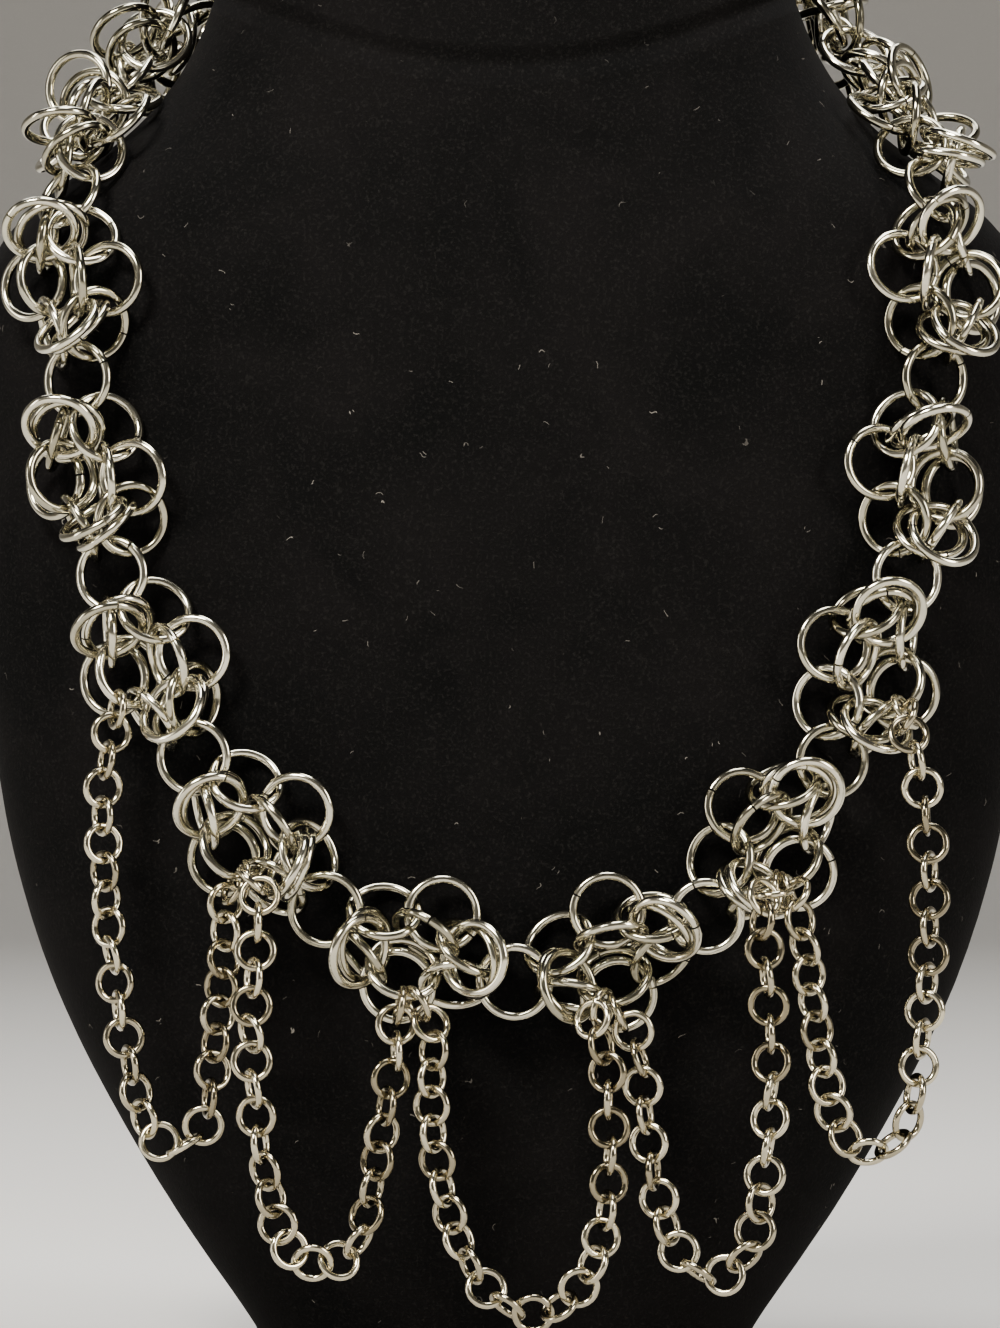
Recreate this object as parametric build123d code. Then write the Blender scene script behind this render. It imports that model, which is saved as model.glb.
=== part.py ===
"""Chainmail necklace lying on a plain velvet-covered neck bust.

Millimetres, +Z up. The bust faces -Y and stands on the plane z = 0, with the origin under the middle
of everything. The necklace is a whole loop: fourteen flower units of twelve rings, joined end to end by
single rings, then two short chains and a clasp behind the neck, and five chain swags below the front.
"""
from collections import namedtuple
import math
import os

from build123d import *
import numpy as np

# Rings of round wire, each bent round until its sawn ends meet
wire = 1.3
ring_bore = 8.4
saw_cut = 0.25
ring_gap = 0.2
flower_pitch = 28.0
flower_thickness = 9.3
flowers_each_side = 7

# Fine chain of the swags and of the back of the neck
chain_width = 3.8
chain_gap = 0.35
swag_spread = 4.8
swag_drop = 1.45

# Clasp behind the neck
clasp_length = 15.0
clasp_width = 7.0
clasp_wire = 1.8

# Velvet-covered bust
bust_height = 232.0
bust_half_width = 77.0
bust_front = 43.0
bust_back = 33.0
bust_squareness = 2.4
bust_sections = 18
bust_outline_points = 32
bust_edge = 4.0
velvet_gap = 0.45
back_chain_height = 200.0
back_chain_points = 7

ring_radius = (ring_bore + wire) / 2
touching = wire + ring_gap

# Bust form from the foot to the top of the neck, as shares of its height, half width and two depths
Section = namedtuple("Section", "height half_width front back")
BUST_FORM = [
    Section(0.000, 0.44, 0.62, 0.84),
    Section(0.060, 0.55, 0.75, 0.92),
    Section(0.132, 0.69, 0.86, 0.98),
    Section(0.237, 0.85, 0.95, 1.00),
    Section(0.340, 0.94, 0.99, 1.00),
    Section(0.500, 1.00, 1.00, 0.98),
    Section(0.630, 1.00, 0.97, 0.95),
    Section(0.700, 0.94, 0.93, 0.94),
    Section(0.737, 0.82, 0.90, 0.95),
    Section(0.775, 0.68, 0.87, 0.98),
    Section(0.830, 0.57, 0.84, 1.03),
    Section(0.890, 0.52, 0.82, 1.06),
    Section(1.000, 0.51, 0.82, 1.06),
]
clasp_y = bust_back * BUST_FORM[-1].back + velvet_gap + (clasp_wire + chain_width) / 2

# Middle line of the flowers, from the left side of the neck down the chest and up to the right side
NECKLINE = [
    (-40.0, 26.0, 198.0), (-50.0, 4.0, 191.0), (-59.0, -18.0, 176.0), (-60.0, -33.0, 151.0),
    (-57.0, -36.0, 124.5), (-48.0, -40.0, 98.0), (-33.0, -43.5, 75.0), (-11.0, -45.0, 60.0),
    (17.0, -45.0, 60.5), (37.0, -43.0, 75.5), (51.0, -39.5, 100.0), (58.0, -36.0, 126.0),
    (60.5, -33.0, 152.5), (59.5, -18.0, 177.0), (51.0, 4.0, 191.0), (41.0, 26.0, 198.0),
]

# Swags: the flowers that each one hangs between, and the way between them as x and z
Swag = namedtuple("Swag", "name start end line")
SWAGS = [
    Swag("swag_1", 4, 5, [(-56.0, 84.0), (-55.9, 74.0), (-55.2, 64.0), (-54.0, 54.0), (-52.2, 45.0),
                          (-50.2, 37.6), (-47.6, 34.2), (-44.4, 34.2), (-41.8, 37.0), (-40.7, 43.5),
                          (-39.9, 51.5), (-38.9, 61.0)]),
    Swag("swag_2", 5, 6, [(-34.4, 61.5), (-35.0, 52.0), (-34.7, 42.5), (-33.6, 34.0), (-32.2, 27.0),
                          (-30.4, 21.2), (-27.2, 18.4), (-23.2, 18.4), (-20.2, 21.2), (-18.6, 27.5),
                          (-17.2, 35.0), (-16.0, 42.5), (-14.8, 49.0)]),
    Swag("swag_3", 6, 7, [(-9.9, 48.5), (-10.2, 41.0), (-9.6, 33.5), (-8.0, 26.0), (-5.4, 19.0),
                          (-1.6, 13.6), (3.2, 11.2), (8.0, 12.6), (11.6, 17.2), (13.6, 23.5),
                          (14.4, 31.0), (14.3, 38.5), (13.9, 46.0)]),
    Swag("swag_4", 7, 8, [(18.6, 47.0), (19.2, 40.0), (20.1, 33.0), (21.4, 26.5), (23.4, 20.8),
                          (26.6, 17.0), (31.0, 17.0), (33.8, 21.0), (35.2, 27.0), (36.2, 35.0),
                          (36.6, 44.0), (36.3, 53.0), (35.7, 62.0)]),
    Swag("swag_5", 8, 9, [(41.6, 60.5), (42.9, 51.5), (44.4, 43.0), (46.2, 36.8), (49.4, 33.6),
                          (53.2, 34.0), (56.0, 38.0), (57.4, 46.0), (58.3, 55.0), (58.8, 64.5),
                          (58.7, 74.5), (57.8, 84.0)]),
]

# Ring work: how finely a ring is sampled, and the small moves of each round
ring_samples = 48
SAMPLE_ANGLES = np.linspace(0, 2 * math.pi, ring_samples, endpoint=False)
RING_CURVE = ring_radius * np.stack([np.cos(SAMPLE_ANGLES), np.sin(SAMPLE_ANGLES), 0 * SAMPLE_ANGLES], 1)
creep = 0.02

FACES = {"top": (-1, 0), "right": (0, 1), "bottom": (1, 0), "left": (0, -1)}
CORNERS = {"top_right": (-1, 1), "bottom_right": (1, 1), "bottom_left": (1, -1), "top_left": (-1, -1)}
face_rings = 2 * len(FACES)
flower_rings = face_rings + len(CORNERS)

# The ring that each ring of a flower lands on after half a turn about the flower's middle
TWINS = [2, 3, 0, 1, 6, 7, 4, 5, 10, 11, 8, 9]


def smooth_through(places, values, at):
    """A smooth line through a table's values that never swings past them."""
    step = np.diff(places)
    rise = np.diff(values) / step
    slope = np.concatenate([rise[:1], np.zeros(len(rise) - 1), rise[-1:]])
    same_way = np.nonzero(rise[:-1] * rise[1:] > 0)[0]
    before, after = rise[same_way], rise[same_way + 1]
    slope[same_way + 1] = 2 * before * after / (before + after)
    k = np.clip(np.searchsorted(places, at) - 1, 0, len(step) - 1)
    t = (at - places[k]) / step[k]
    rest = 1 - t
    ends = values[k] * (1 + 2 * t) * rest**2 + values[k + 1] * (3 - 2 * t) * t**2
    return ends + step[k] * (slope[k] * t * rest**2 - slope[k + 1] * rest * t**2)


def bust_half_sizes(z):
    """Half width, front depth and back depth of the bust at a height."""
    table = np.array(BUST_FORM)
    share = np.clip(np.asarray(z, float) / bust_height, 0, 1)
    sizes = (bust_half_width, bust_front, bust_back)
    return [size * smooth_through(table[:, 0], table[:, k + 1], share) for k, size in enumerate(sizes)]


def bust_level(p):
    """How far out points lie from the bust's middle line, as a share: 1 on the velvet."""
    half, front, back = bust_half_sizes(p[..., 2])
    depth = np.where(p[..., 1] < 0, front, back)
    power = bust_squareness
    return ((np.abs(p[..., 0]) / half) ** power + (np.abs(p[..., 1]) / depth) ** power) ** (1 / power)


def off_bust(p):
    """Distance of points from the velvet, and the way straight out of it."""
    level = bust_level(p)
    nudge = 0.2
    steepest = np.stack([(bust_level(p + nudge * way) - level) / nudge for way in np.eye(3)], -1)
    size = np.linalg.norm(steepest, axis=-1, keepdims=True) + 1e-9
    return (level - 1) / size[..., 0], steepest / size


def frames_facing(normals):
    """Three axes for each ring, the last along its normal."""
    normals = normals / np.linalg.norm(normals, axis=1, keepdims=True)
    side = np.where(np.abs(normals[:, :1]) < 0.8, [[1.0, 0, 0]], [[0, 1.0, 0]])
    first = np.cross(normals, side)
    first /= np.linalg.norm(first, axis=1, keepdims=True)
    return np.stack([first, np.cross(normals, first), normals], 2)


def turned(frames, spin):
    """The frames turned by small turns given as vectors."""
    angle = np.linalg.norm(spin, axis=1)[:, None, None] + 1e-12
    x, y, z = (spin / angle[:, :, 0]).T
    none = 0 * x
    cross = np.stack([none, -z, y, z, none, -x, -y, x, none], 1).reshape(-1, 3, 3)
    return (np.eye(3) + np.sin(angle) * cross + (1 - np.cos(angle)) * (cross @ cross)) @ frames


def gather(count, rings, vectors):
    """Sums vectors by ring."""
    return np.stack([np.bincount(rings, vectors[:, k], count) for k in range(3)], 1)


def settle(centres, frames, rounds, pace=0.6, moves=None, repeat=None, held=None):
    """Pushes the rings' wires apart, round by round, while moves draws or presses them.

    Rings never pass through each other, so what is linked stays linked. With repeat, the rings also
    meet their own copies one pitch up and down the chain.
    """
    count = len(centres)
    shifts = [np.zeros(3)] if repeat is None else [np.zeros(3), repeat, -repeat]
    for k in range(rounds):
        if k % 10 == 0:
            near = []
            for shift in shifts:
                apart = np.linalg.norm(centres[:, None] - centres[None] - shift, axis=2)
                close = apart < 2 * ring_radius + touching + 0.5
                if not shift.any():
                    close &= ~np.eye(count, dtype=bool)
                first, second = np.nonzero(close)
                near.append((first, second, np.tile(shift, (len(first), 1))))
            first, second, shift = (np.concatenate(part) for part in zip(*near))
        points = centres[:, None] + np.einsum("mk,nik->nmi", RING_CURVE, frames)
        from_centre = points[first] - (centres[second] + shift)[:, None]
        normal = frames[second][:, None, :, 2]
        flat = from_centre - (from_centre * normal).sum(-1, keepdims=True) * normal
        nearest = flat * (ring_radius / (np.linalg.norm(flat, axis=-1, keepdims=True) + 1e-9))
        away = from_centre - nearest
        distance = np.linalg.norm(away, axis=-1, keepdims=True) + 1e-9
        push = np.clip(touching - distance, 0, None) * away / distance
        hits = (distance[..., 0] < touching).sum(1)
        arm = points[first] - centres[first][:, None]
        shove = push.sum(1)
        weight = np.bincount(first, hits, count) + np.bincount(second, hits, count)
        weight = 1 / np.maximum(weight, 1)[:, None]
        slide = gather(count, first, shove) - gather(count, second, shove)
        spin = gather(count, first, np.cross(arm, push).sum(1))
        spin -= gather(count, second, np.cross(nearest, push).sum(1))
        slide *= pace * weight
        spin *= pace * weight / (0.5 * ring_radius**2)
        spin *= np.minimum(1, 0.1 / (np.linalg.norm(spin, axis=1, keepdims=True) + 1e-9))
        if held is not None:
            slide[held] = spin[held] = 0
        if moves:
            more_slide, more_spin = moves(points, centres, frames, k / rounds)
            slide += more_slide
            spin += more_spin
        centres = centres + slide
        frames = turned(frames, spin)
    return centres, frames


def lay_flat(frames, speed):
    """The turn that brings ring normals towards the third axis of the flower."""
    normals = frames[:, :, 2]
    upright = np.array([0, 0, 1.0]) * np.where(normals[:, 2:] >= 0, 1, -1)
    return speed * np.cross(normals, upright)


def press(points, centres, half_height):
    """Slides and turns that keep the wires between two plates."""
    over = np.clip(points[..., 2] - half_height, 0, None) + np.clip(points[..., 2] + half_height, None, 0)
    push = np.zeros_like(points)
    push[..., 2] = -0.3 * over
    arm = points - centres[:, None]
    return 2 * push.mean(1), np.cross(arm, push).mean(1) / (0.25 * ring_radius**2)


def draw_towards(centres, goals, speed):
    """Slides, never faster than speed, towards goals in the flower's own plane."""
    miss = goals - centres[:, :2]
    size = np.linalg.norm(miss, axis=1, keepdims=True) + 1e-9
    return np.column_stack([miss / size * np.minimum(size, speed), np.zeros(len(goals))])


def evened(centres, frames, pitch):
    """A flower averaged with itself after half a turn, and its connector level half a pitch up."""
    half_turn = np.diag([-1.0, -1.0, 1.0])
    normals = frames[:flower_rings, :, 2]
    twins = (half_turn @ frames[TWINS])[:, :, 2]
    normals = normals + np.sign((normals * twins).sum(1, keepdims=True)) * twins
    middles = (centres[:flower_rings] + centres[TWINS] @ half_turn) / 2
    for connector in centres[flower_rings:]:
        middles = np.vstack([middles, (-pitch / 2, 0, connector[2])])
        normals = np.vstack([normals, (0, 0, 1)])
    return middles, frames_facing(normals)


def settle_evenly(centres, frames, rounds, moves=None, pitches=(0, 0)):
    """Settles a flower whose halves stay alike, while its pitch grows from the first to the second."""
    parts = rounds // 10
    for k in range(parts):
        share = (k + 1) / parts
        pitch = pitches[0] + (pitches[1] - pitches[0]) * min(1, 1.4 * share)

        def part_moves(points, centres, frames, done):
            return moves(points, centres, frames, share)

        repeat = np.array([pitch, 0, 0]) if pitch else None
        centres, frames = settle(centres, frames, 10, moves=moves and part_moves, repeat=repeat)
        centres, frames = evened(centres, frames, pitch)
    return centres, frames


def make_flower():
    """One flower and the connector above it, settled: centres and frames of 13 rings.

    u runs down the chain, v across it and w out of it. Four face rings in front and four behind lie
    round the middle, linked in twos across two corners, and each corner ring holds the four beside it.
    """
    face_circle, face_height, face_lean, corner_circle = 1.15, 0.47, 0.27, 0.72
    centres, normals = [], []
    for side in (1, -1):
        for name, (u, v) in FACES.items():
            lean = face_lean * (1 if name in ("top", "right") else -1) / math.sqrt(2)
            centres.append((u * face_circle, v * face_circle, side * face_height))
            normals.append((-lean, -lean, side))
    for u, v in CORNERS.values():
        centres.append((u * corner_circle / math.sqrt(2), v * corner_circle / math.sqrt(2), 0))
        normals.append((u, v, 0))
    centres = ring_radius * np.array(centres, float)
    frames = frames_facing(np.array(normals, float))
    centres, frames = settle(centres, frames, 250, pace=0.3)
    centres, frames = evened(centres, frames, 0)

    out = np.array(list(CORNERS.values()), float)
    faces = np.array(list(FACES.values()), float)
    drawn = np.vstack([(0.90, 1.10) * faces, (0.90, 1.35) * faces, (1.45, 0.85) * out]) * ring_radius
    full = np.vstack([(0.95, 1.05) * faces, (0.95, 1.30) * faces, (1.42, 0.88) * out]) * ring_radius
    loose_half, tight_half, flat_half = 0.98 * ring_radius, 0.77 * ring_radius, (flower_thickness - wire) / 2

    def open_out(points, centres, frames, share):
        """Presses the flower flat, draws the corner rings outwards and lays them down."""
        slide, spin = press(points, centres, loose_half + (tight_half - loose_half) * min(1, 1.6 * share))
        slide[face_rings:, :2] += creep * out * (1, 0.35)
        spin[face_rings:] += lay_flat(frames[face_rings:], 0.006)
        return slide, spin

    def draw_out(points, centres, frames, share):
        """Draws the corner rings out along the chain, far enough for the connectors."""
        slide, spin = press(points, centres, loose_half)
        slide += draw_towards(centres, drawn, creep)
        slide[face_rings:] += 0.5 * draw_towards(centres[face_rings:], drawn[face_rings:], creep)
        return slide, spin

    def stretch(points, centres, frames, share):
        """Presses the flower flat again and fills it out while its pitch grows."""
        ease = min(1, 3 * (1 - share))
        pressed = min(1, max(0, 1.6 * share - 0.4))
        slide, spin = press(points, centres, loose_half + (flat_half - loose_half) * pressed)
        slide[:flower_rings] += ease * draw_towards(centres[:flower_rings], full, creep)
        spin[:face_rings] += ease * lay_flat(frames[:face_rings], 0.004)
        return slide, spin

    def ease_off(points, centres, frames, share):
        """Lets go of the flower little by little."""
        slide, spin = press(points, centres, flat_half)
        spin[:face_rings] += (1 - share) * lay_flat(frames[:face_rings], 0.004)
        return (1 - share) * slide, (1 - share) * spin

    centres, frames = settle_evenly(centres, frames, 700, open_out)
    centres, frames = settle_evenly(centres, frames, 900, draw_out)
    centres, frames = settle_evenly(centres, frames, 60)
    loose_pitch = 5.155 * ring_radius
    centres = np.vstack([centres, (-loose_pitch / 2, 0, -0.36 * ring_radius)])
    frames = np.concatenate([frames, frames_facing(np.array([(0, 0, 1.0)]))])
    centres, frames = settle_evenly(centres, frames, 120, pitches=(loose_pitch, loose_pitch))
    centres, frames = settle_evenly(centres, frames, 700, stretch, (loose_pitch, flower_pitch))
    repeat = np.array([flower_pitch, 0, 0])
    centres, frames = settle(centres, frames, 400, pace=1.3, moves=ease_off, repeat=repeat)
    return settle(centres, frames, 200, pace=1.3, repeat=repeat)


def part_of_turn(turn, share):
    """A share of the turn that a matrix makes."""
    axis = np.array([turn[2, 1] - turn[1, 2], turn[0, 2] - turn[2, 0], turn[1, 0] - turn[0, 1]]) / 2
    sine = np.linalg.norm(axis)
    angle = math.atan2(sine, (np.trace(turn) - 1) / 2)
    return turned(np.eye(3)[None], share * angle * axis[None] / max(sine, 1e-9))[0]


def neckline_spots(count):
    """Origins and axes of spots half a pitch apart along the neckline, on the velvet side of it."""
    neckline = Spline(*NECKLINE)
    spots = []
    for k in range(count):
        along = neckline.length / 2 + (k - (count - 1) / 2) * flower_pitch / 2
        spot = np.array(tuple(neckline.position_at(along / neckline.length)))
        u = np.array(tuple(neckline.tangent_at(along / neckline.length)))
        gap, w = off_bust(spot)
        spot = spot + (flower_thickness / 2 + velvet_gap - gap) * w
        w = w - (w @ u) * u
        w /= np.linalg.norm(w)
        spots.append((spot, np.stack([u, np.cross(w, u), w], 1)))
    return spots


def part_bent(spots, share):
    """The same spots with the line between them bent only a share of the way from straight."""
    spot, axes = spots[0]
    bent = [(spot, axes)]
    for (a, axes_a), (b, axes_b) in zip(spots, spots[1:]):
        step = share * (axes_a.T @ (b - a)) + (1 - share) * np.array([flower_pitch / 2, 0, 0])
        spot = spot + axes @ step
        axes = axes @ part_of_turn(axes_a.T @ axes_b, share)
        bent.append((spot, axes))
    return bent


def lift_off_velvet(points, centres):
    """Slides and turns that keep the wires a little off the velvet."""
    gap, outward = off_bust(points)
    lift = np.clip(wire / 2 + velvet_gap - gap, 0, None)[..., None] * outward
    hits = np.maximum((lift != 0).any(-1).sum(1), 1)[:, None]
    slide = 0.6 * lift.sum(1) / hits
    arm = points - centres[:, None]
    return slide, 0.6 * np.cross(arm, lift).sum(1) / hits / (0.5 * ring_radius**2)


def lay_necklace():
    """All the rings laid along the neckline and settled on the velvet: centres and frames.

    The first rings are the flowers', twelve after twelve, and the connectors follow. The chain starts
    straight and is bent little by little, so its links stay linked.
    """
    flowers = 2 * flowers_each_side
    spots = neckline_spots(2 * flowers + 1)
    owner = np.repeat(1 + 2 * np.arange(flowers), flower_rings)
    owner = np.concatenate([owner, 2 * np.arange(flowers + 1)])
    unit_centres, unit_frames = make_flower()
    unit_centres[flower_rings] += (flower_pitch / 2, 0, 0)
    which = np.tile(np.arange(flower_rings), flowers)
    which = np.concatenate([which, np.full(flowers + 1, flower_rings)])
    at, axes = (np.array(part) for part in zip(*part_bent(spots, 0)))
    centres = at[owner] + np.einsum("nij,nj->ni", axes[owner], unit_centres[which])
    frames = axes[owner] @ unit_frames[which]
    bends = 40
    for bend in range(bends):
        new_at, new_axes = (np.array(part) for part in zip(*part_bent(spots, (bend + 1) / bends)))
        turn = (new_axes @ axes.transpose(0, 2, 1))[owner]
        centres = new_at[owner] + np.einsum("nij,nj->ni", turn, centres - at[owner])
        frames = turn @ frames
        at, axes = new_at, new_axes
        centres, frames = settle(centres, frames, 8)

    inward = -axes[owner][:, :, 2]
    sizes = np.maximum(np.bincount(owner), 1)[:, None]
    chance = np.random.default_rng(5)
    drift = chance.normal(size=centres.shape) * 0.012
    sway = chance.normal(size=centres.shape) * 0.004

    def rest(points, centres, frames, share):
        """Keeps the wires off the velvet, draws them gently to it and holds each flower in its place."""
        slide, spin = lift_off_velvet(points, centres)
        now = gather(len(sizes), owner, centres) / sizes
        hold = np.clip(0.1 * (at - now), -creep, creep)[owner]
        pull = max(0, 1 - 1.6 * share)
        slide += 0.01 * pull * inward + hold * (0.3 + 0.7 * pull) + pull * drift
        return slide, spin + pull * sway

    centres, frames = settle(centres, frames, 300, pace=1.2, moves=rest)

    def clear_velvet(points, centres, frames, share):
        return lift_off_velvet(points, centres)

    return settle(centres, frames, 1600, pace=1.4, moves=clear_velvet)


def tightest_gap(centres, frames):
    """The least distance between the wires of any two rings."""
    points = centres[:, None] + np.einsum("mk,nik->nmi", RING_CURVE, frames)
    least = math.inf
    for k in range(len(centres)):
        near = np.nonzero(np.linalg.norm(centres - centres[k], axis=1) < 2 * ring_radius + touching)[0]
        near = near[near != k]
        from_centre = points[near] - centres[k]
        rise = from_centre @ frames[k][:, 2]
        reach = np.sqrt(np.clip((from_centre**2).sum(-1) - rise**2, 0, None))
        least = min(least, np.hypot(rise, reach - ring_radius).min() - wire)
    return least


def ring_solid(centre, frame, cut_at):
    """One ring of round wire, open by a saw cut at an angle round it."""
    opening = math.degrees(saw_cut / ring_radius)
    plane = Plane(origin=tuple(centre), x_dir=tuple(frame[:, 0]), z_dir=tuple(frame[:, 2]))
    ring = Torus(ring_radius, wire / 2, major_angle=360 - opening)
    return plane * (Rot(0, 0, cut_at) * ring)


def clear_of_velvet(spot):
    """The spot itself, or moved straight out until a chain there is clear of the velvet."""
    gap, outward = off_bust(np.array(spot))
    return spot + max(0, chain_width / 2 + velvet_gap - gap) * outward


def swag_ways(curves):
    """The points of each swag, which hangs from the front left rings of its two flowers.

    Two swags that share a ring hang side by side below it, in front of the rings that they pass.
    """
    reach = (chain_width + wire) / 2 + chain_gap
    hooks = {}
    for flower in range(SWAGS[0].start, SWAGS[-1].end + 1):
        ring = curves[flower_rings * flower + list(FACES).index("left")]
        # The two outermost tops hang from the outer shoulder of their ring
        outer = (flower == SWAGS[-1].end) - (flower == SWAGS[0].start)
        side = ring[(0.7 * outer * ring[:, 0] - ring[:, 2]).argmax()]
        hooks[flower] = np.array((side[0], side[1], ring[:, 2].min()))
    ways = {}
    for swag in SWAGS:
        first, last = hooks[swag.start] - (0, 0, swag_drop), hooks[swag.end] - (0, 0, swag_drop)
        first[0] += swag_spread / 2 if swag is not SWAGS[0] else 0
        last[0] -= swag_spread / 2 if swag is not SWAGS[-1] else 0
        for top in (first, last):
            near = curves.reshape(-1, 3) - top
            room = reach**2 - near[:, 0] ** 2
            passed = (room > 0) & (near[:, 2] < 0.9 * swag_drop) & (near[:, 2] > -6 * swag_drop)
            top[1] += (near[passed, 1] - np.sqrt(room[passed])).min(initial=0)
        points = [first]
        for x, z in swag.line:
            share = (x - first[0]) / (last[0] - first[0])
            points.append(np.array((x, first[1] + share * (last[1] - first[1]), z)))
        ways[swag.name] = [clear_of_velvet(spot) for spot in points + [last]]
    return ways


def back_chain_ways(curves):
    """The points of the two back chains, each from the last ring on its side round to the clasp."""
    half, _, back = bust_half_sizes(back_chain_height)
    out = chain_width / 2 + velvet_gap
    ways = {}
    for name, side, ring in (("back_chain_left", -1, curves[0]), ("back_chain_right", 1, curves[1])):
        beyond = np.array([-0.75 * side, 1.0, 0.3]) / math.hypot(0.75, 1.0, 0.3)
        start = ring[(ring @ beyond).argmax()] + (wire / 2 + 3 * chain_gap) * beyond
        clasp_end = np.array((side * (clasp_length / 2 + chain_gap), clasp_y, back_chain_height))
        begin = math.atan2(start[1], abs(start[0]))
        end = math.atan2(clasp_end[1], abs(clasp_end[0]))
        points = [clear_of_velvet(start)]
        for turn in np.linspace(begin, end, back_chain_points + 1)[1:-1]:
            x, y = math.cos(turn), math.sin(turn)
            reach = (x / (half + out)) ** bust_squareness + (y / (back + out)) ** bust_squareness
            reach **= -1 / bust_squareness
            points.append(np.array((side * x * reach, y * reach, back_chain_height)))
        ways[name] = points + [clasp_end]
    return ways


def chain_tube(name, points):
    """A fine chain as a round bar along straight runs joined by arcs."""
    points = [Vector(*spot) for spot in points]
    runs = [(b - a) for a, b in zip(points, points[1:])]
    radii = []
    for before, after in zip(runs, runs[1:]):
        turn = math.radians(before.get_angle(after))
        radii.append(0.45 * min(before.length, after.length) / math.tan(turn / 2))
    line = FilletPolyline(*points, radius=radii)
    section = Plane(origin=line @ 0, z_dir=line % 0) * Circle(chain_width / 2)
    tube = sweep(section, path=line)
    share = tube.volume / (math.pi * chain_width**2 / 4 * line.length)
    print(f"{name}: length {line.length:.0f}, least radius {min(radii):.1f}, volume share {share:.3f}")
    return tube


def make_bust():
    """The bust: a smooth body through level sections, its two end edges softened."""
    sections = []
    for z in np.linspace(0, bust_height, bust_sections):
        half, front, back = bust_half_sizes(z)
        outline = []
        for turn in np.linspace(0, 2 * math.pi, bust_outline_points, endpoint=False):
            x, y = -math.sin(turn), math.cos(turn)
            depth = front if y < 0 else back
            power = 2 / bust_squareness
            outline.append((half * math.copysign(abs(x) ** power, x),
                            depth * math.copysign(abs(y) ** power, y), z))
        sections.append(Face(Wire(Spline(*outline, periodic=True))))
    body = loft(sections)
    ends = [edge for edge in body.edges() if edge.bounding_box().size.Z < 0.01]
    return fillet(ends, bust_edge)


# Build every piece and export it
centres, frames = lay_necklace()
print(f"{len(centres)} rings, least gap between wires {tightest_gap(centres, frames):.3f}")
flowers = 2 * flowers_each_side
cuts = np.random.default_rng(11).uniform(0, 360, len(centres))
rings = [ring_solid(*each) for each in zip(centres, frames, cuts)]
nodes = {"bust": make_bust()}
for k in range(flowers):
    nodes[f"flower_{k + 1}"] = Compound(rings[flower_rings * k:flower_rings * (k + 1)])
for k in range(flowers + 1):
    nodes[f"connector_{k + 1}"] = rings[flower_rings * flowers + k]

curves = centres[:, None] + np.einsum("mk,nik->nmi", RING_CURVE, frames)
chains = swag_ways(curves) | back_chain_ways(curves[[flower_rings * flowers, -1]])
for name, way in chains.items():
    nodes[name] = chain_tube(name, way)

# An oblong clasp behind the neck
loop = SlotCenterToCenter(clasp_length - clasp_width, clasp_width - clasp_wire).wire()
clasp_line = Plane(origin=(0, clasp_y, back_chain_height), x_dir=(1, 0, 0), z_dir=(0, 1, 0)) * loop
section = Plane(origin=clasp_line @ 0, z_dir=clasp_line % 0) * Circle(clasp_wire / 2)
nodes["clasp"] = sweep(section, path=clasp_line)

box = Compound(list(nodes.values())).bounding_box()
shift = Pos(-(box.min.X + box.max.X) / 2, -(box.min.Y + box.max.Y) / 2, -box.min.Z)
print("size", box.size, "shift", shift.position)
os.makedirs("parts", exist_ok=True)
for name, shape in nodes.items():
    export_step(shift * shape, f"parts/{name}.step")
    print(name, "solids", len(shape.solids()), "volume", round(shape.volume, 1))
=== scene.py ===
"""Looks of the chainmail necklace on its velvet bust, in metres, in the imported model's frame."""
import math
import random

import bpy
import numpy as np
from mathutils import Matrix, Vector


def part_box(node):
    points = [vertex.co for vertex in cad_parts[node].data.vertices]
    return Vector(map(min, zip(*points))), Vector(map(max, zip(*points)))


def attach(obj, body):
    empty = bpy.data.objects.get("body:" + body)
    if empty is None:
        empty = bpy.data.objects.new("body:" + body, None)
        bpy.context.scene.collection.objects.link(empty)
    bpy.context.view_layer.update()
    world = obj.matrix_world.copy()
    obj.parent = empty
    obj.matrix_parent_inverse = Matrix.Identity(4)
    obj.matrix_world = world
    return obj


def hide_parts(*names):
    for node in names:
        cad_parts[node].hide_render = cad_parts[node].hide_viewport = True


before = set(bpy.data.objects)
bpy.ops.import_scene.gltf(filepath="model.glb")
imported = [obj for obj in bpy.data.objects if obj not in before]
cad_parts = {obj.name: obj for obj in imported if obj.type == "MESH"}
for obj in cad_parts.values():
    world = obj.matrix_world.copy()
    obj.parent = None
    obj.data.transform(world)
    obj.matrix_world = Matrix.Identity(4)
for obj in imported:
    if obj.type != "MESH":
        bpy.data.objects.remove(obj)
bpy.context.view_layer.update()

mm = 0.001

# The jump rings: the middle radius and the wire radius of each
flower_count = 14
ring_radius = 4.85 * mm
ring_wire = 0.65 * mm

# The clasp: from its middle to the middle of its end wire, and its wire radius
clasp_end = 6.6 * mm
clasp_wire = 0.9 * mm

# The fine round chain links: middle radius, wire radius, and how far apart they are at most
link_radius = 2.5 * mm
link_wire = 0.5 * mm
link_spacing = 3.95 * mm
link_sides = (40, 12)

# How the links of a chain differ: a slow sway along it, its run in radians, and each link's own turn and tilt
link_seed = 7
sway_run = 5.5
own_turn = 0.25
own_tilt = 0.1

# A bar's end is taken from its last bit this long
bar_end_length = 1.6 * mm
# A swag's top in the part is this far below the middle of the wire of its ring
swag_drop = 1.45 * mm
# The links are wider than the bar in the part, so the swags hang this much further forward
swag_forward = 0.8 * mm
# A ring beside a swag's top counts as this share of the same distance above it
beside_share = 0.15
swag_facing = (0.25, -1, 0.1)

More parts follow.
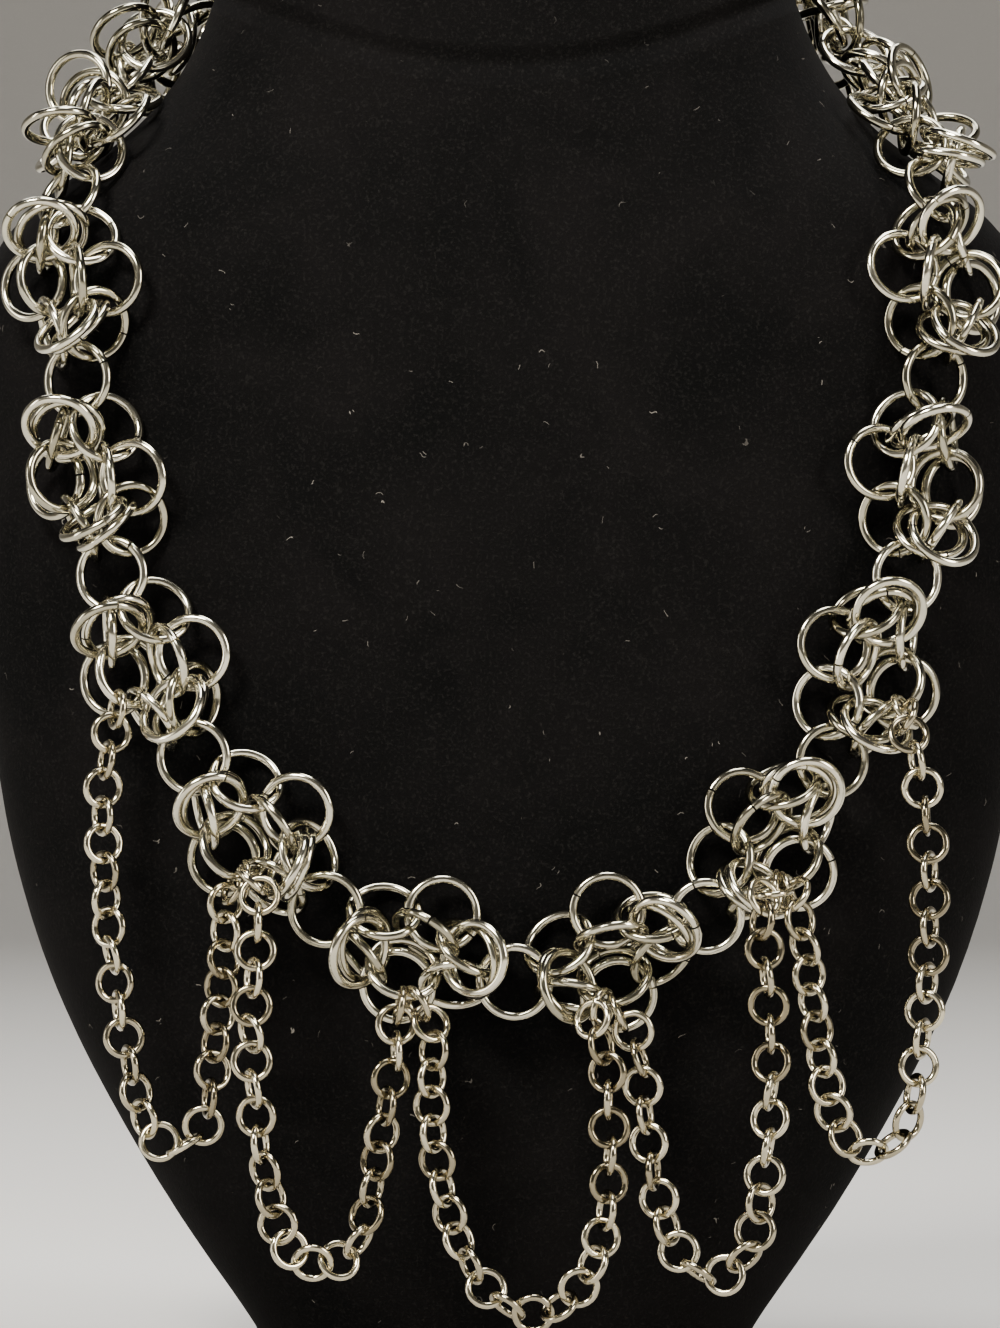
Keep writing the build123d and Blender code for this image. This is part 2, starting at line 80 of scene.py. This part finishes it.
# The chosen points of each swag between its two tops, as x and z in millimetres
SWAG_WAYS = {
    "swag_1": [(-56.0, 84.0), (-55.9, 74.0), (-55.2, 64.0), (-54.0, 54.0), (-52.2, 45.0), (-50.2, 37.6),
               (-47.6, 34.2), (-44.4, 34.2), (-41.8, 37.0), (-40.7, 43.5), (-39.9, 51.5), (-38.9, 61.0)],
    "swag_2": [(-34.4, 61.5), (-35.0, 52.0), (-34.7, 42.5), (-33.6, 34.0), (-32.2, 27.0), (-30.4, 21.2),
               (-27.2, 18.4), (-23.2, 18.4), (-20.2, 21.2), (-18.6, 27.5), (-17.2, 35.0), (-16.0, 42.5),
               (-14.8, 49.0)],
    "swag_3": [(-9.9, 48.5), (-10.2, 41.0), (-9.6, 33.5), (-8.0, 26.0), (-5.4, 19.0), (-1.6, 13.6),
               (3.2, 11.2), (8.0, 12.6), (11.6, 17.2), (13.6, 23.5), (14.4, 31.0), (14.3, 38.5),
               (13.9, 46.0)],
    "swag_4": [(18.6, 47.0), (19.2, 40.0), (20.1, 33.0), (21.4, 26.5), (23.4, 20.8), (26.6, 17.0),
               (31.0, 17.0), (33.8, 21.0), (35.2, 27.0), (36.2, 35.0), (36.6, 44.0), (36.3, 53.0),
               (35.7, 62.0)],
    "swag_5": [(41.6, 60.5), (42.9, 51.5), (44.4, 43.0), (46.2, 36.8), (49.4, 33.6), (53.2, 34.0),
               (56.0, 38.0), (57.4, 46.0), (58.3, 55.0), (58.8, 64.5), (58.7, 74.5), (57.8, 84.0)],
}

# The chosen points of the right back chain round the neck, as x and y in millimetres; the left one mirrors it
BACK_WAY = [(36.4, 32.7), (32.4, 36.7), (27.7, 39.9), (22.8, 42.2), (17.7, 44.0), (12.5, 45.2)]
back_chain_height = 200.0 * mm
back_facing = (0, 1, 0.6)
# The end link at the clasp leans back on the wire that it hangs on
clasp_link_lean = (0, 0.7, 0.7)

# Background paper: radii of the middle sheet, of the floor's edge and of the curve, and the top of the wall
floor_middle, floor_edge, curve_radius, wall_top = 0.4, 1.6, 1.0, 2.2
around_steps, curve_steps = 96, 17

# The camera looks level from the front: height of the view at the necklace, its middle, and how far off it is
view_height, view_middle, view_distance = 0.1846, (-0.0007, -0.038, 0.1009), 1.0
film_height = 36
lights_face = (0, 0, 0.11)
studio_fill = 0.06

# Sockets of a colour Mix node, which have the same names for every data type and so go by number
MIX_SHARE, MIX_FIRST, MIX_SECOND, MIX_RESULT = 0, 6, 7, 2


def linear(text):
    """An sRGB hex colour as the linear numbers that Blender wants."""
    parts = [int(text[k:k + 2], 16) / 255 for k in (1, 3, 5)]
    return tuple(p / 12.92 if p <= 0.04045 else ((p + 0.055) / 1.055) ** 2.4 for p in parts) + (1,)


def add(material, kind, settings, sockets):
    """Adds one node with its settings, sets or links its sockets, and gives back its outputs."""
    tree = material.node_tree
    node = tree.nodes.new(kind)
    for setting, value in settings.items():
        setattr(node, setting, value)
    for socket, value in sockets.items():
        if isinstance(value, bpy.types.NodeSocket):
            tree.links.new(value, node.inputs[socket])
        else:
            node.inputs[socket].default_value = value
    return node.outputs


def bare_material(name):
    """A material with an empty node tree."""
    material = bpy.data.materials.new(name)
    material.use_nodes = True
    material.node_tree.nodes.clear()
    return material


def tumbled_steel(name, light_tone, dark_tone, polish):
    """Stainless wire, drawn bright and tumbled once cut: mirror-like, with reflections softened by scuffs."""
    steel = bare_material(name)
    place = add(steel, "ShaderNodeTexCoord", {}, {})["Object"]
    # Rings cut from one coil still differ a little in tone, so neighbours part from each other
    ring = add(steel, "ShaderNodeNewGeometry", {}, {})["Random Per Island"]
    tone = add(steel, "ShaderNodeMix", {"data_type": "RGBA"},
               {MIX_SHARE: ring, MIX_FIRST: linear(dark_tone), MIX_SECOND: linear(light_tone)})[MIX_RESULT]
    # Handling film in soft clouds of about 2.5 mm, which dulls the reflections in places
    film = add(steel, "ShaderNodeTexNoise", {},
               {"Vector": place, "Scale": 1 / (2.5 * mm), "Detail": 4.0, "Roughness": 0.6})["Fac"]
    dimmed = add(steel, "ShaderNodeMapRange", {},
                 {"Value": film, "From Min": 0.35, "From Max": 0.6, "To Min": 0.85, "To Max": 1.0})[0]
    colour = add(steel, "ShaderNodeMix", {"data_type": "RGBA", "blend_type": "MULTIPLY"},
                 {MIX_SHARE: 1.0, MIX_FIRST: tone, MIX_SECOND: dimmed})[MIX_RESULT]
    # Tumbling scuffs, really about 0.05 mm, drawn 0.4 mm apart so that they show
    scuffs = add(steel, "ShaderNodeTexNoise", {},
                 {"Vector": place, "Scale": 1 / (0.4 * mm), "Detail": 5.0, "Roughness": 0.7})["Fac"]
    # Film and scuffs both add to the blur of the polished wire
    blur = add(steel, "ShaderNodeMath", {"operation": "MULTIPLY_ADD"}, {0: film, 1: 0.1, 2: polish})[0]
    blur = add(steel, "ShaderNodeMath", {"operation": "MULTIPLY_ADD", "use_clamp": True},
               {0: scuffs, 1: 0.05, 2: blur})[0]
    nicked = add(steel, "ShaderNodeBump", {},
                 {"Strength": 0.2, "Distance": 0.02 * mm, "Height": scuffs})[0]
    metal = add(steel, "ShaderNodeBsdfPrincipled", {},
                {"Base Color": colour, "Metallic": 1.0, "Roughness": blur, "Normal": nicked})[0]
    add(steel, "ShaderNodeOutputMaterial", {}, {"Surface": metal})
    return steel


def black_velvet(name):
    """Black cotton velvet glued over the bust: it swallows light head-on, with a faint bloom at its edges."""
    velvet = bare_material(name)
    place = add(velvet, "ShaderNodeTexCoord", {}, {})["Object"]
    # Pile brushed another way in patches of about 20 mm, painted a shade lighter in the colour: a painted
    # sheen
    pile_sheen_patches = add(velvet, "ShaderNodeTexNoise", {},
               {"Vector": place, "Scale": 1 / (20 * mm), "Detail": 3.0, "Roughness": 0.55,
                "Distortion": 0.6})["Fac"]
    pile_sheen_patches = add(velvet, "ShaderNodeMapRange", {}, {"Value": pile_sheen_patches, "From Min": 0.35, "From Max": 0.65})[0]
    cloth = add(velvet, "ShaderNodeMix", {"data_type": "RGBA"},
                {MIX_SHARE: pile_sheen_patches, MIX_FIRST: linear("#050505"), MIX_SECOND: linear("#0a0909")})[MIX_RESULT]
    # Tufts of the pile, really about 0.2 mm, drawn 0.45 mm apart so that they show
    tufts = add(velvet, "ShaderNodeTexNoise", {},
                {"Vector": place, "Scale": 1 / (0.45 * mm), "Detail": 2.0, "Roughness": 0.6})["Fac"]
    # The tips of the tufts are painted lighter in the colour: a painted glint on the pile
    painted_tuft_glint = add(velvet, "ShaderNodeMapRange", {},
                 {"Value": tufts, "From Min": 0.52, "From Max": 0.75, "To Max": 0.6})[0]
    cloth = add(velvet, "ShaderNodeMix", {"data_type": "RGBA"},
                {MIX_SHARE: painted_tuft_glint, MIX_FIRST: cloth, MIX_SECOND: linear("#181716")})[MIX_RESULT]
    # Lint in the pile: curled threads up to 1 mm long, at most one in each 4 mm, and of uneven brightness
    spots = add(velvet, "ShaderNodeTexVoronoi", {}, {"Vector": place, "Scale": 1 / (4 * mm)})
    near = add(velvet, "ShaderNodeMath", {"operation": "LESS_THAN"}, {0: spots["Distance"], 1: 0.14})[0]
    chosen = add(velvet, "ShaderNodeSeparateColor", {}, {"Color": spots["Color"]})
    kept = add(velvet, "ShaderNodeMath", {"operation": "LESS_THAN"}, {0: chosen["Red"], 1: 0.8})[0]
    # Each thread is a thin contour of a soft noise, where it crosses such a spot
    curl = add(velvet, "ShaderNodeTexNoise", {},
               {"Vector": place, "Scale": 1 / (1.6 * mm), "Detail": 0.0})["Fac"]
    thread = add(velvet, "ShaderNodeMath", {"operation": "COMPARE"}, {0: curl, 1: 0.5, 2: 0.012})[0]
    lint = add(velvet, "ShaderNodeMath", {"operation": "MULTIPLY"}, {0: near, 1: kept})[0]
    lint = add(velvet, "ShaderNodeMath", {"operation": "MULTIPLY"}, {0: lint, 1: thread})[0]
    pale = add(velvet, "ShaderNodeMath", {"operation": "MULTIPLY"}, {0: lint, 1: chosen["Green"]})[0]
    cloth = add(velvet, "ShaderNodeMix", {"data_type": "RGBA"},
                {MIX_SHARE: pale, MIX_FIRST: cloth, MIX_SECOND: linear("#6c6862")})[MIX_RESULT]
    # The seam round the foot of the neck, a groove 6 mm wide that rises towards the shoulders
    seam_height, seam_rise, seam_half_width, seam_depth = 185 * mm, 7.2, 3 * mm, 1.2 * mm
    spot = add(velvet, "ShaderNodeSeparateXYZ", {}, {"Vector": place})
    rise = add(velvet, "ShaderNodeMath", {"operation": "MULTIPLY"}, {0: spot["X"], 1: spot["X"]})[0]
    seam = add(velvet, "ShaderNodeMath", {"operation": "MULTIPLY_ADD"},
               {0: rise, 1: seam_rise, 2: seam_height})[0]
    beside = add(velvet, "ShaderNodeMath", {"operation": "SUBTRACT"}, {0: spot["Z"], 1: seam})[0]
    beside = add(velvet, "ShaderNodeMath", {"operation": "ABSOLUTE"}, {0: beside})[0]
    groove = add(velvet, "ShaderNodeMapRange", {"interpolation_type": "SMOOTHSTEP"},
                 {"Value": beside, "From Min": 0.0, "From Max": seam_half_width})[0]
    sunk = add(velvet, "ShaderNodeBump", {},
               {"Strength": 1.0, "Distance": seam_depth, "Height": groove})[0]
    soft = add(velvet, "ShaderNodeBump", {},
               {"Strength": 0.5, "Distance": 0.2 * mm, "Height": tufts, "Normal": sunk})[0]
    surface = add(velvet, "ShaderNodeBsdfPrincipled", {},
                  {"Base Color": cloth, "Roughness": 0.95, "Specular IOR Level": 0.04, "Sheen Weight": 0.008,
                   "Sheen Roughness": 0.4, "Sheen Tint": linear("#a39d97"), "Normal": soft})[0]
    add(velvet, "ShaderNodeOutputMaterial", {}, {"Surface": surface})
    return velvet


def pale_paper(name):
    """Matte pale background paper, unprinted: an even tone with a faint tooth."""
    paper = bare_material(name)
    place = add(paper, "ShaderNodeTexCoord", {}, {})["Object"]
    # The tooth, really about 0.1 mm, drawn 1 mm apart so that it shows
    tooth = add(paper, "ShaderNodeTexNoise", {},
                {"Vector": place, "Scale": 1 / (1 * mm), "Detail": 2.0})["Fac"]
    colour = add(paper, "ShaderNodeMix", {"data_type": "RGBA"},
                 {MIX_SHARE: tooth, MIX_FIRST: linear("#c3c1bd"), MIX_SECOND: linear("#c9c7c3")})[MIX_RESULT]
    surface = add(paper, "ShaderNodeBsdfPrincipled", {}, {"Base Color": colour, "Roughness": 0.85})[0]
    add(paper, "ShaderNodeOutputMaterial", {}, {"Surface": surface})
    return paper


def mesh_object(name, points, faces, material):
    """A smooth-shaded object in the scene, made from points and faces."""
    mesh = bpy.data.meshes.new(name)
    mesh.from_pydata([tuple(p) for p in points], [], [tuple(f) for f in faces])
    mesh.polygons.foreach_set("use_smooth", [True] * len(mesh.polygons))
    mesh.materials.append(material)
    thing = bpy.data.objects.new(name, mesh)
    bpy.context.scene.collection.objects.link(thing)
    return thing


def node_solids(name):
    """The points of each separate solid of a CAD node."""
    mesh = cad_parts[name].data
    points = np.empty(len(mesh.vertices) * 3)
    mesh.vertices.foreach_get("co", points)
    points = points.reshape(-1, 3)
    _, same = np.unique(np.round(points, 6), axis=0, return_inverse=True)
    same = same.reshape(-1)
    joined = list(range(same.max() + 1))

    def root_of(k):
        while joined[k] != k:
            joined[k] = joined[joined[k]]
            k = joined[k]
        return k

    for edge in mesh.edges:
        joined[root_of(same[edge.vertices[0]])] = root_of(same[edge.vertices[1]])
    roots = np.array([root_of(k) for k in same])
    return [points[roots == root] for root in np.unique(roots)]


def bar_end(points, reach):
    """The middle of the end of a chain's bar, where its points reach furthest."""
    return points[reach > reach.max() - bar_end_length].mean(0)


def ring_place(points):
    """The middle of a ring and the direction of its axis."""
    middle = points.mean(0)
    axes = np.linalg.svd(points - middle, full_matrices=False)[2]
    for flat in axes[:2]:
        reach = (points - middle) @ flat
        middle = middle + flat * (reach.max() + reach.min()) / 2
    return middle, axes[2]


def ring_above(top, rings):
    """The ring that a swag's top hangs on, whose lowest wire is swag_drop above it."""
    misses = []
    for ring in rings:
        under = ring[ring[:, 2].argmin()]
        miss = abs(under[2] + ring_wire - swag_drop - top[2])
        misses.append(miss + beside_share * math.hypot(under[0] - top[0], under[1] - top[1]))
    return rings[int(np.argmin(misses))]


def hang_on(middle, axis, tip):
    """The middle of an end link that hangs on a ring towards a tip, and the run of the ring's wire there."""
    out = tip - middle
    out -= axis * (out @ axis)
    out /= np.linalg.norm(out)
    wire = middle + ring_radius * out
    pull = (tip - wire) / np.linalg.norm(tip - wire)
    return wire + pull * (link_radius - link_wire - ring_wire), np.cross(axis, out)


def smooth_line(points, step):
    """Places along a smooth line through the points, evenly apart by a step at most."""
    fine_steps = 24
    points = [Vector(p) for p in points]
    ends = [points[0] * 2 - points[1]] + points + [points[-1] * 2 - points[-2]]
    fine = []
    for a, b, c, d in zip(ends, ends[1:], ends[2:], ends[3:]):
        for k in range(fine_steps):
            t = k / fine_steps
            fine.append(0.5 * ((2 * b) + (c - a) * t + (2 * a - 5 * b + 4 * c - d) * t**2
                               + (3 * b - a - 3 * c + d) * t**3))
    fine = np.array(fine + [points[-1]])
    along = np.concatenate([[0], np.cumsum(np.linalg.norm(np.diff(fine, axis=0), axis=1))])
    at = np.linspace(0, along[-1], max(2, math.ceil(along[-1] / step)) + 1)
    return np.stack([np.interp(at, along, fine[:, k]) for k in range(3)], 1)


def round_link():
    """Points and faces of one round wire link that lies in the xy plane."""
    around, across = link_sides
    points, faces = [], []
    for i in range(around):
        a = 2 * math.pi * i / around
        for j in range(across):
            b = 2 * math.pi * j / across
            reach = link_radius + link_wire * math.cos(b)
            points.append((reach * math.cos(a), reach * math.sin(a), link_wire * math.sin(b)))
            i_next, j_next = (i + 1) % around, (j + 1) % across
            faces.append((i * across + j, i_next * across + j, i_next * across + j_next, i * across + j_next))
    return np.array(points), np.array(faces)


def link_chain(name, route, facing, end_wires, wander, metal, chance):
    """Round links threaded through each other along a route, each about a quarter turn from the last.

    The two end links face along the wires that they hang on. Between them the chain twists slowly.
    """
    middles = smooth_line(route, link_spacing)
    last = len(middles) - 1
    directions = np.gradient(middles, axis=0)
    directions /= np.linalg.norm(directions, axis=1)[:, None]
    outwards = facing - directions * (directions @ facing)[:, None]
    outwards /= np.linalg.norm(outwards, axis=1)[:, None]
    sides = np.cross(directions, outwards)
    first_turn = math.atan2(end_wires[0] @ sides[0], end_wires[0] @ outwards[0])
    last_turn = math.atan2(end_wires[1] @ sides[-1], end_wires[1] @ outwards[-1])
    # The least twist that brings the last link to its wire, to spread over all the links
    twist = (last_turn - first_turn - last * math.pi / 2 + math.pi / 2) % math.pi - math.pi / 2
    phase = chance.uniform(0, 2 * math.pi)
    link_points, link_faces = round_link()
    points, faces = [], []
    for k in range(last + 1):
        free = math.sin(math.pi * k / last)
        sway = math.sin(phase + sway_run * k / last) + chance.gauss(0, own_turn)
        turn = first_turn + k * math.pi / 2 + twist * k / last + free * (wander * sway)
        normal = math.cos(turn) * outwards[k] + math.sin(turn) * sides[k]
        normal = normal + directions[k] * chance.gauss(0, own_tilt)
        normal /= np.linalg.norm(normal)
        lie = directions[k] - normal * (directions[k] @ normal)
        lie /= np.linalg.norm(lie)
        faces.append(link_faces + k * len(link_points))
        points.append(link_points @ np.array((lie, np.cross(normal, lie), normal)) + middles[k])
    return mesh_object(name, np.concatenate(points), np.concatenate(faces).tolist(), metal)


def softbox(name, place, size, power, colour):
    """An area light that faces the middle of the necklace."""
    data = bpy.data.lights.new(name, "AREA")
    data.shape = "RECTANGLE"
    data.size, data.size_y = size
    data.energy = power
    data.color = linear(colour)[:3]
    lamp = bpy.data.objects.new(name, data)
    lamp.location = place
    lamp.rotation_mode = "QUATERNION"
    lamp.rotation_quaternion = (Vector(lights_face) - Vector(place)).to_track_quat("-Z", "Y")
    bpy.context.scene.collection.objects.link(lamp)


ring_steel = tumbled_steel("tumbled_stainless_ring_wire", "#d5d0bd", "#8f8a76", 0.06)
chain_steel = tumbled_steel("bright_stainless_chain_wire", "#c6bea5", "#7f7660", 0.07)
velvet = black_velvet("black_cotton_velvet")
for node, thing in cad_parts.items():
    finish = velvet if node == "bust" else chain_steel if node == "clasp" else ring_steel
    for material_slot in thing.material_slots:
        material_slot.material = finish

# The swags as real links, each end hung on the ring above it
chance = random.Random(link_seed)
rings = [ring for k in range(1, flower_count + 1) for ring in node_solids(f"flower_{k}")]
for name, way in SWAG_WAYS.items():
    points = np.concatenate(node_solids(name))
    middle_x = (points[:, 0].min() + points[:, 0].max()) / 2
    tops, hooks = [], []
    for side in (-1, 1):
        half = points[(points[:, 0] - middle_x) * side > 0]
        top = bar_end(half, half[:, 2])
        ring = ring_above(top, rings)
        middle, axis = ring_place(ring)
        top[1] -= swag_forward
        tops.append(top)
        # Two swags on one ring meet at its lowest point, the outermost ones hang from its shoulder
        outermost = (name, side) in (("swag_1", -1), ("swag_5", 1))
        hooks.append(hang_on(middle, axis, top if outermost else (top + ring[ring[:, 2].argmin()]) / 2))
    route = [hooks[0][0], tops[0]]
    for x, z in way:
        share = (x * mm - tops[0][0]) / (tops[1][0] - tops[0][0])
        route.append((x * mm, tops[0][1] + share * (tops[1][1] - tops[0][1]), z * mm))
    route += [tops[1], hooks[1][0]]
    chain = link_chain(f"{name}_links", route, np.array(swag_facing), (hooks[0][1], hooks[1][1]), 1.0,
                       chain_steel, chance)
    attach(chain, "root")
    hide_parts(name)

# The back chains, from the last ring on each side to the clasp, their links leaning both ways on the velvet
clasp_low, clasp_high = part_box("clasp")
clasp_y = (clasp_low[1] + clasp_high[1]) / 2
for name, ring, side in (("back_chain_left", "connector_1", -1), ("back_chain_right", "connector_15", 1)):
    middle, axis = ring_place(node_solids(ring)[0])
    points = np.concatenate(node_solids(name))
    start, wire = hang_on(middle, axis, bar_end(points, points[:, 0] * side))
    end = np.array((side * (clasp_end + link_radius - link_wire - clasp_wire), clasp_y, back_chain_height))
    route = [start] + [(side * x * mm, y * mm, back_chain_height) for x, y in BACK_WAY] + [end]
    chain = link_chain(f"{name}_links", route, np.array(back_facing), (wire, np.array(clasp_link_lean)), 0.0,
                       chain_steel, chance)
    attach(chain, "root")
    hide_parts(name)

# A paper sweep all round: level floor, a wide curve, and a low wall, so that no edge shows from any side
curve = np.linspace(0, math.pi / 2, curve_steps)
profile = [(floor_middle, 0.0)]
profile += [(floor_edge + curve_radius * math.sin(a), curve_radius * (1.0 - math.cos(a))) for a in curve]
profile += [(floor_edge + curve_radius, wall_top)]
levels = len(profile)
points = [(r * math.cos(a), r * math.sin(a), z)
          for a in np.linspace(0, 2 * math.pi, around_steps, endpoint=False) for r, z in profile]
faces = []
for k in range(around_steps):
    here, beside = k * levels, (k + 1) % around_steps * levels
    faces += [(here + j, here + j + 1, beside + j + 1, beside + j) for j in range(levels - 1)]
faces.append(tuple(k * levels for k in range(around_steps)))
mesh_object("paper_sweep", points, faces, pale_paper("matte_pale_paper"))

softbox("key_softbox", (-0.4, -0.75, 0.8), (0.36, 0.22), 25, "#fffaf2")
softbox("right_softbox", (0.8, -0.6, 0.4), (0.2, 0.5), 10, "#fff8ee")
softbox("top_softbox", (0.1, 0.0, 1.0), (0.8, 0.3), 12, "#ffffff")
softbox("left_strip", (-0.9, -0.3, 0.2), (0.12, 0.6), 4, "#fffaf2")
softbox("wall_light", (0.0, 0.9, 1.3), (1.4, 0.4), 12, "#ffffff")

world = bpy.data.worlds.new("studio")
world.use_nodes = True
world.node_tree.nodes["Background"].inputs["Color"].default_value = linear("#f4f1ec")
world.node_tree.nodes["Background"].inputs["Strength"].default_value = studio_fill
bpy.context.scene.world = world

camera_data = bpy.data.cameras.new("camera")
camera = bpy.data.objects.new("camera", camera_data)
bpy.context.scene.collection.objects.link(camera)
bpy.context.scene.camera = camera
camera_data.sensor_width = film_height
camera_data.lens = film_height * view_distance / view_height
camera.location = (view_middle[0], view_middle[1] - view_distance, view_middle[2])
camera.rotation_euler = (math.pi / 2, 0, 0)
camera_data.clip_start, camera_data.clip_end = 0.01, 20
